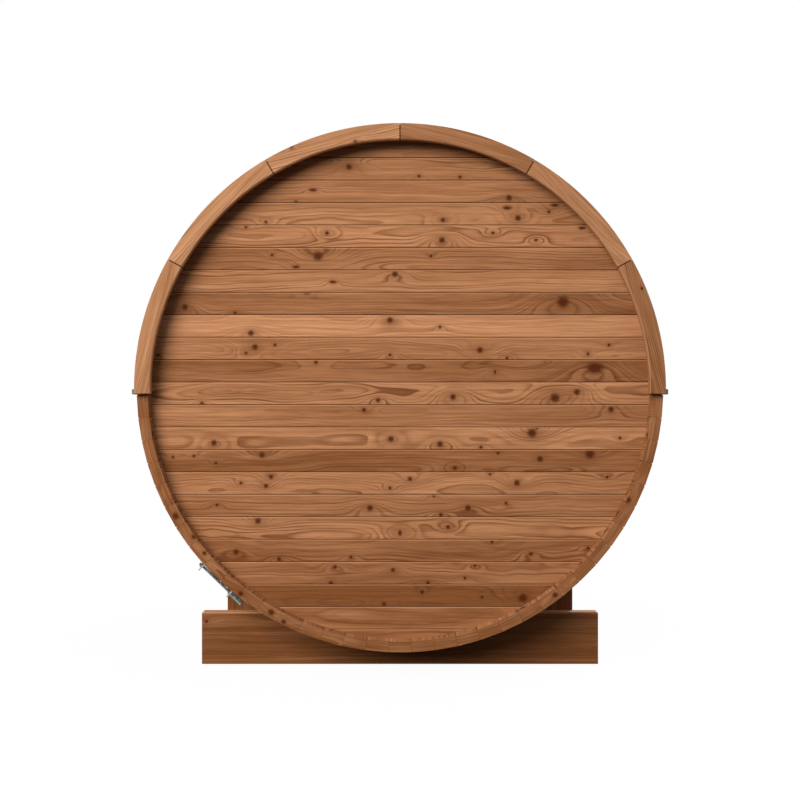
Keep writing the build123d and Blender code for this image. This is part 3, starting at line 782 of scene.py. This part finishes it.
def felt_material():
    """Mineral-faced roofing felt in three strips, lapped along the barrel."""
    material, n, shader = new_material("roof_felt")
    place = n.place()
    x, _, z = n.split(place)
    angle = n.math("ARCTAN2", x, n.math("SUBTRACT", z, AXIS_HEIGHT))
    grit = n.noise(place, 700.0, 2.0, 0.7)
    coarse = n.noise(place, 260.0, 3.0, 0.75)
    patch = n.noise(place, 2.2, 5.0, 0.6)
    colour = n.mix(n.smooth(grit, 0.35, 0.7), (0.014, 0.014, 0.014, 1), (0.070, 0.068, 0.066, 1))
    colour = n.mix(n.smooth(coarse, 0.55, 0.72, 0.0, 0.7), colour, (0.130, 0.125, 0.118, 1))
    speckle = n.noise(place, 55.0, 3.0, 0.7)
    colour = n.mix(n.smooth(speckle, 0.45, 0.75, 0.0, 0.45), colour, (0.085, 0.080, 0.075, 1))
    colour = n.mix(n.smooth(patch, 0.4, 0.75, 0.0, 0.22), colour, (0.12, 0.11, 0.10, 1))
    edge = n.math("SUBTRACT", n.math("ABSOLUTE", angle), FELT_LAP_ANGLE)
    lap = n.smooth(edge, 0.0, 0.004, 1.0, 0.0)
    shadow = n.math("MULTIPLY", n.smooth(edge, -0.001, 0.001), n.smooth(edge, 0.001, 0.008, 1.0, 0.0))
    colour = n.mix(n.math("MULTIPLY", shadow, 0.8), colour, (0.006, 0.006, 0.006, 1))
    n.feed(shader.inputs["Base Color"], colour)
    n.feed(shader.inputs["Roughness"], n.smooth(grit, 0.3, 0.7, 0.95, 0.80))
    height = n.math("ADD", n.math("ADD", grit, coarse), n.math("MULTIPLY", lap, 1.5))
    n.relief(shader, height, 0.6, 0.0012)
    return material


def steel_material(name, pale, deep, roughness, threads=False):
    """Zinc-coated steel with faint spangle; threads adds fine rings along the tension rods, with painted
    shade in their grooves.
    """
    material, n, shader = new_material(name)
    place = n.place()
    spangle = n.noise(place, 140.0, 2.0, 0.6)
    streak = n.noise(place, 9.0, 3.0, 0.6)
    colour = n.mix(n.smooth(spangle, 0.3, 0.7), deep, pale)
    colour = n.mix(n.smooth(streak, 0.45, 0.8, 0.0, 0.5), colour, deep)
    rough = n.smooth(spangle, 0.2, 0.8, roughness - 0.08, roughness + 0.1)
    if threads:
        away, depth, along = n.turned(place, TENSIONER_ANGLE)
        end_distance = n.math("SUBTRACT", n.math("ABSOLUTE", depth), -BARREL_END - HOOP_INSET)
        core = n.length(end_distance, n.math("SUBTRACT", away, BARREL_RADIUS + ROD_HEIGHT))
        bare = n.smooth(core, ROD_RADIUS + 0.0002, ROD_RADIUS + 0.0006, 1.0, 0.0)
        wave = n.math("SINE", n.math("MULTIPLY", along, 2 * math.pi / THREAD_PITCH))
        wave = n.math("MULTIPLY", wave, bare)
        # Painted shade: the troughs of the thread are darkened
        colour = n.mix(n.smooth(wave, -1.0, 0.2, 0.55, 0.0), colour, (0.07, 0.08, 0.08, 1))
        n.relief(shader, wave, 0.9, 0.0005)
    n.feed(shader.inputs["Base Color"], colour)
    n.feed(shader.inputs["Roughness"], rough)
    shader.inputs["Metallic"].default_value = 0.75
    return material


FELT = felt_material()
ZINC = steel_material("galvanised_steel", (0.40, 0.44, 0.42, 1), (0.20, 0.23, 0.22, 1), 0.42)
THREADED = steel_material("threaded_steel", (0.34, 0.38, 0.37, 1), (0.16, 0.19, 0.19, 1), 0.40,
                          threads=True)
COATED = steel_material("coated_bar", (0.17, 0.155, 0.14, 1), (0.08, 0.072, 0.065, 1), 0.5)
dress("roof_membrane", FELT)
for name in ("hoop_rear", "hoop_front", "door_hinges"):
    dress(name, ZINC)
for name in ("tension_rod_rear", "tension_rod_front"):
    dress(name, THREADED)
for name in ("roof_edge_rail_left", "roof_edge_rail_right"):
    dress(name, COATED)


# Round screw heads on the strap hinges

HINGE_FACE_DEPTH = 0.004
STRAP_INSET = 0.030
STRAP_SCREWS = (0.025, 0.150, 0.275)
PLATE_INSET = 0.016
PLATE_SCREWS = (-0.018, 0.018)
HEAD_RADIUS = 0.0075
HEAD_HEIGHT = 0.0032


def screw_heads_tree():
    """One domed head on each point, with its flat side against the face that looks along Y."""
    tree = bpy.data.node_groups.new("screw heads", "GeometryNodeTree")
    sockets = tree.interface
    sockets.new_socket("Geometry", in_out="INPUT", socket_type="NodeSocketGeometry")
    names = {}
    for label, kind in (("Head Radius", FLOAT), ("Head Height", FLOAT),
                        ("Finish", "NodeSocketMaterial")):
        names[label] = sockets.new_socket(label, in_out="INPUT", socket_type=kind).identifier
    sockets.new_socket("Geometry", in_out="OUTPUT", socket_type="NodeSocketGeometry")
    n = Nodes(tree)
    start = n.new("NodeGroupInput").outputs
    end = n.new("NodeGroupOutput").inputs
    dome = n.new("GeometryNodeMeshUVSphere")
    dome.inputs["Segments"].default_value = 20
    dome.inputs["Rings"].default_value = 10
    dome.inputs["Radius"].default_value = 1.0
    smooth = n.new("GeometryNodeSetShadeSmooth")
    n.feed(smooth.inputs["Geometry"], dome.outputs["Mesh"])
    heads = n.new("GeometryNodeInstanceOnPoints")
    n.feed(heads.inputs["Points"], start["Geometry"])
    n.feed(heads.inputs["Instance"], smooth.outputs[0])
    size = n.join(start["Head Radius"], start["Head Height"], start["Head Radius"])
    n.feed(heads.inputs["Scale"], size)
    solid = n.new("GeometryNodeRealizeInstances")
    n.feed(solid.inputs[0], heads.outputs[0])
    finish = n.new("GeometryNodeSetMaterial")
    n.feed(finish.inputs["Geometry"], solid.outputs[0])
    n.feed(finish.inputs["Material"], start["Finish"])
    n.feed(end[0], finish.outputs[0])
    return tree, names


def hinge_screws():
    """Three heads along each strap and two on its plate, on the outer face of the hinges."""
    low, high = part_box("door_hinges")
    face = low.y + HINGE_FACE_DEPTH
    spots = []
    for height in (low.z + STRAP_INSET, high.z - STRAP_INSET):
        spots += [(high.x - inset, face, height) for inset in STRAP_SCREWS]
        spots += [(low.x + PLATE_INSET, face, height + rise) for rise in PLATE_SCREWS]
    mesh = bpy.data.meshes.new("hinge_screws")
    mesh.from_pydata(spots, [], [])
    screws = bpy.data.objects.new("hinge_screws", mesh)
    bpy.context.scene.collection.objects.link(screws)
    tree, names = screw_heads_tree()
    grower = screws.modifiers.new("heads", "NODES")
    grower.node_group = tree
    grower[names["Head Radius"]] = HEAD_RADIUS
    grower[names["Head Height"]] = HEAD_HEIGHT
    grower[names["Finish"]] = ZINC
    evaluated = screws.evaluated_get(bpy.context.evaluated_depsgraph_get())
    screws.data = bpy.data.meshes.new_from_object(evaluated)
    screws.modifiers.clear()
    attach(screws, "root")


hinge_screws()


# Studio

def lamp(name, place, target, width, height, power, colour):
    data = bpy.data.lights.new(name, "AREA")
    data.shape = "ELLIPSE"
    data.size = width
    data.size_y = height
    data.energy = power
    data.color = colour
    light = bpy.data.objects.new(name, data)
    light.location = place
    light.rotation_euler = (Vector(target) - Vector(place)).to_track_quat("-Z", "Y").to_euler()
    bpy.context.scene.collection.objects.link(light)


FLOOR_REACH = 30.0


def white_floor():
    """White to the camera and dark to the light that it would throw back at the barrel."""
    reach = FLOOR_REACH
    floor_mesh = bpy.data.meshes.new("floor")
    corners = [(-reach, -reach, 0), (reach, -reach, 0), (reach, reach, 0), (-reach, reach, 0)]
    floor_mesh.from_pydata(corners, [], [(0, 1, 2, 3)])
    floor = bpy.data.objects.new("floor", floor_mesh)
    bpy.context.scene.collection.objects.link(floor)
    material, n, shader = new_material("floor")
    tree = material.node_tree
    seen = n.seen()
    n.feed(shader.inputs["Base Color"], n.mix(seen, (0.05, 0.05, 0.05, 1), (0.90, 0.90, 0.90, 1)))
    shader.inputs["Roughness"].default_value = 0.9
    shader.inputs["Specular IOR Level"].default_value = 0.0
    white = n.new("ShaderNodeEmission")
    white.inputs["Color"].default_value = (1, 1, 1, 1)
    blend = n.new("ShaderNodeMixShader")
    x, y, _ = n.split(n.place())
    fade = n.smooth(n.length(x, y), 2.5, 9.0, 0.96, 1.0)
    n.feed(blend.inputs[0], n.math("MULTIPLY", seen, fade))
    tree.links.new(shader.outputs[0], blend.inputs[1])
    tree.links.new(white.outputs[0], blend.inputs[2])
    tree.links.new(blend.outputs[0], tree.nodes["Material Output"].inputs[0])
    floor_mesh.materials.append(material)


def soft_sky():
    """White to the camera; its light grows from the horizon upwards."""
    world = bpy.data.worlds.new("studio")
    bpy.context.scene.world = world
    world.use_nodes = True
    n = Nodes(world.node_tree)
    direct = n.seen()
    height = n.split(n.new("ShaderNodeTexCoord").outputs["Generated"])[Z]
    sky = n.smooth(height, 0.12, 0.70, 0.04, 0.95)
    backdrop = world.node_tree.nodes["Background"]
    n.feed(backdrop.inputs["Color"], n.mix(direct, (0.96, 0.98, 1.0, 1), (1, 1, 1, 1)))
    n.feed(backdrop.inputs["Strength"], n.math("MAXIMUM", sky, direct))


def key_lamps():
    """One large lamp for each end, high and to the left of someone who looks at that end."""
    height = AXIS_HEIGHT + 3.8
    lamp("rear_key", place=(-4.7, BARREL_END - 8.0, height), target=(0.0, BARREL_END, AXIS_HEIGHT),
         width=7.6, height=5.6, power=1160.0, colour=(1.0, 0.965, 0.92))
    lamp("front_key", place=(5.6, -BARREL_END + 7.0, height), target=(0.0, 0.0, AXIS_HEIGHT),
         width=6.5, height=5.5, power=1080.0, colour=(1.0, 0.97, 0.94))


white_floor()
soft_sky()
key_lamps()
bpy.context.scene.view_settings.view_transform = "Standard"
